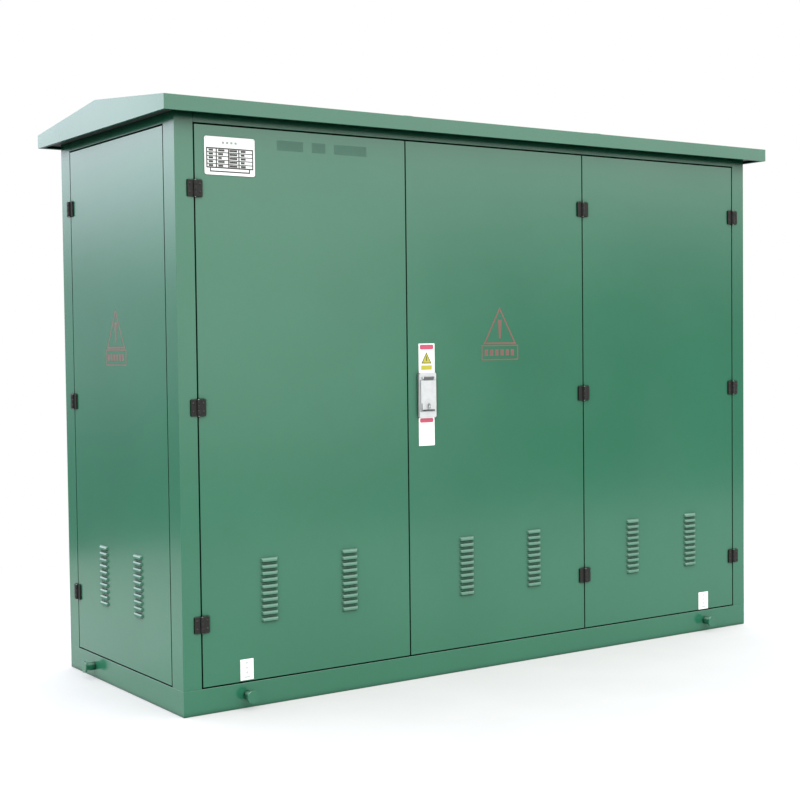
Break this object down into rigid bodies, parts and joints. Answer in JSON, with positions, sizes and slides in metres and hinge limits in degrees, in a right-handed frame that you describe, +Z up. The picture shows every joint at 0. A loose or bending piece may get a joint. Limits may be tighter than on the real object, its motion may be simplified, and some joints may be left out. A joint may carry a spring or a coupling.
{
  "type": "pad-mounted switchgear kiosk",
  "caption": "Outdoor medium-voltage switchgear kiosk: green sheet-steel enclosure with louvred doors, gabled roof, ring main unit and control cabinet inside.",
  "frame": {"origin": "middle of the base's footprint, on the ground", "axes": "+X to the right seen from the front, +Y to the back, +Z up"},
  "size_m": [2.676, 1.06, 1.999],
  "materials": {
    "green_paint": "satin powder coat",
    "hinge_black": "matt black paint",
    "bright_steel": "zinc plated",
    "lock_steel": "fine brushed",
    "seal_rubber": "matt",
    "plate_white": "satin anodised",
    "floor_steel": "matt paint",
    "tank_steel": "brushed stainless",
    "copper": "bare bar",
    "brown_resin": "cast resin",
    "red_resin": "cast resin",
    "panel_grey": "light grey powder coat",
    "module_grey": "moulded"
  },
  "bodies": {
    "enclosure": {"base_frame": "green_paint", "floor_plate": "floor_steel", "frame_posts": "green_paint", "top_rails": "green_paint", "back_panels": "green_paint", "back_panel_screws": "bright_steel", "roof_cover": "green_paint", "roof_ceiling": "green_paint", "lifting_pins": "green_paint", "frame_hinge_leaves": "hinge_black", "frame_hinge_pins": "bright_steel", "rmu_frame": "panel_grey", "gas_tank": "tank_steel", "busbars": "copper", "switch_poles": "brown_resin", "mechanism_panels": "panel_grey", "cable_bushings": "red_resin", "cable_covers": "panel_grey", "earth_bar": "copper", "control_cabinet": "panel_grey", "control_cabinet_cover": "panel_grey", "control_modules": "module_grey"},
    "shaft_1": {"switch_shaft_1": "bright_steel"},
    "shaft_2": {"switch_shaft_2": "bright_steel"},
    "shaft_3": {"switch_shaft_3": "bright_steel"},
    "shaft_4": {"switch_shaft_4": "bright_steel"},
    "left_door": {"door_left_skin": "green_paint", "door_left_stiffeners": "green_paint", "door_left_seal": "seal_rubber", "door_left_hinge_leaves": "hinge_black", "nameplate": "plate_white"},
    "left_upper_bolt": {"left_bolt_upper": "bright_steel"},
    "left_lower_bolt": {"left_bolt_lower": "bright_steel"},
    "right_door": {"door_right_skin": "green_paint", "door_right_stiffeners": "green_paint", "door_right_seal": "seal_rubber", "door_right_hinge_leaves": "hinge_black", "fold_hinge_pins": "bright_steel"},
    "right_upper_bolt": {"right_bolt_upper": "bright_steel"},
    "right_lower_bolt": {"right_bolt_lower": "bright_steel"},
    "centre_door": {"door_centre_skin": "green_paint", "door_centre_stiffeners": "green_paint", "door_centre_seal": "seal_rubber", "door_centre_hinge_leaves": "hinge_black", "lock_housing": "lock_steel", "lock_gearbox": "bright_steel"},
    "lock_cover_flap": {"lock_flap": "lock_steel"},
    "lock_knob": {"lock_spindle": "bright_steel"},
    "upper_lock_rod": {"lock_rod_upper": "bright_steel"},
    "lower_lock_rod": {"lock_rod_lower": "bright_steel"},
    "side_door_left": {"side_door_left_skin": "green_paint", "side_door_left_stiffeners": "green_paint", "side_door_left_seal": "seal_rubber", "side_door_left_hinge_leaves": "hinge_black"},
    "side_left_bolt": {"side_door_left_bolt": "bright_steel"},
    "side_door_right": {"side_door_right_skin": "green_paint", "side_door_right_stiffeners": "green_paint", "side_door_right_seal": "seal_rubber", "side_door_right_hinge_leaves": "hinge_black"},
    "side_right_bolt": {"side_door_right_bolt": "bright_steel"}
  },
  "joints": [
    {"name": "left_door_hinge", "type": "hinge", "parent": "enclosure", "child": "left_door", "pos_m": [-1.208, -0.4732, 0], "axis": [0, 0, -1], "range_deg": [0, 120]},
    {"name": "right_door_hinge", "type": "hinge", "parent": "enclosure", "child": "right_door", "pos_m": [1.208, -0.4732, 0], "axis": [0, 0, 1], "range_deg": [0, 120]},
    {"name": "centre_door_fold", "type": "hinge", "parent": "right_door", "child": "centre_door", "pos_m": [0.40267, -0.4732, 0], "axis": [0, 0, 1], "range_deg": [0, 170]},
    {"name": "side_door_left_hinge", "type": "hinge", "parent": "enclosure", "child": "side_door_left", "pos_m": [-1.2812, 0.385, 0], "axis": [0, 0, -1], "range_deg": [0, 110]},
    {"name": "side_door_right_hinge", "type": "hinge", "parent": "enclosure", "child": "side_door_right", "pos_m": [1.2812, 0.385, 0], "axis": [0, 0, 1], "range_deg": [0, 110]},
    {"name": "left_upper_bolt_slide", "type": "slide", "parent": "left_door", "child": "left_upper_bolt", "axis": [0, 0, 1], "range_m": [0, 0.025]},
    {"name": "left_lower_bolt_slide", "type": "slide", "parent": "left_door", "child": "left_lower_bolt", "axis": [0, 0, -1], "range_m": [0, 0.025]},
    {"name": "right_upper_bolt_slide", "type": "slide", "parent": "right_door", "child": "right_upper_bolt", "axis": [0, 0, 1], "range_m": [0, 0.025]},
    {"name": "right_lower_bolt_slide", "type": "slide", "parent": "right_door", "child": "right_lower_bolt", "axis": [0, 0, -1], "range_m": [0, 0.025]},
    {"name": "side_left_bolt_slide", "type": "slide", "parent": "side_door_left", "child": "side_left_bolt", "axis": [0, -1, 0], "range_m": [0, 0.025]},
    {"name": "side_right_bolt_slide", "type": "slide", "parent": "side_door_right", "child": "side_right_bolt", "axis": [0, -1, 0], "range_m": [0, 0.025]},
    {"name": "lock_flap_hinge", "type": "hinge", "parent": "centre_door", "child": "lock_cover_flap", "pos_m": [-0.324, -0.4808, 1.054], "axis": [-1, 0, 0], "range_deg": [0, 110]},
    {"name": "lock_turn", "type": "hinge", "parent": "centre_door", "child": "lock_knob", "pos_m": [-0.324, -0.467, 1.001], "axis": [0, 1, 0], "range_deg": [0, 90]},
    {"name": "upper_rod_slide", "type": "slide", "parent": "centre_door", "child": "upper_lock_rod", "axis": [0, 0, 1], "range_m": [0, 0.01885]},
    {"name": "lower_rod_slide", "type": "slide", "parent": "centre_door", "child": "lower_lock_rod", "axis": [0, 0, -1], "range_m": [0, 0.0189]},
    {"name": "switch_1_turn", "type": "hinge", "parent": "enclosure", "child": "shaft_1", "pos_m": [-0.98, 0, 0.9], "axis": [0, 1, 0], "range_deg": [-90, 90]},
    {"name": "switch_2_turn", "type": "hinge", "parent": "enclosure", "child": "shaft_2", "pos_m": [-0.58, 0, 0.9], "axis": [0, 1, 0], "range_deg": [-90, 90]},
    {"name": "switch_3_turn", "type": "hinge", "parent": "enclosure", "child": "shaft_3", "pos_m": [-0.18, 0, 0.9], "axis": [0, 1, 0], "range_deg": [-90, 90]},
    {"name": "switch_4_turn", "type": "hinge", "parent": "enclosure", "child": "shaft_4", "pos_m": [0.22, 0, 0.9], "axis": [0, 1, 0], "range_deg": [-90, 90]}
  ],
  "couplings": [
    {"joint": "lock_turn", "follows": "upper_rod_slide", "rad_per_m": 83.333},
    {"joint": "lower_rod_slide", "follows": "upper_rod_slide", "ratio": 1}
  ]
}
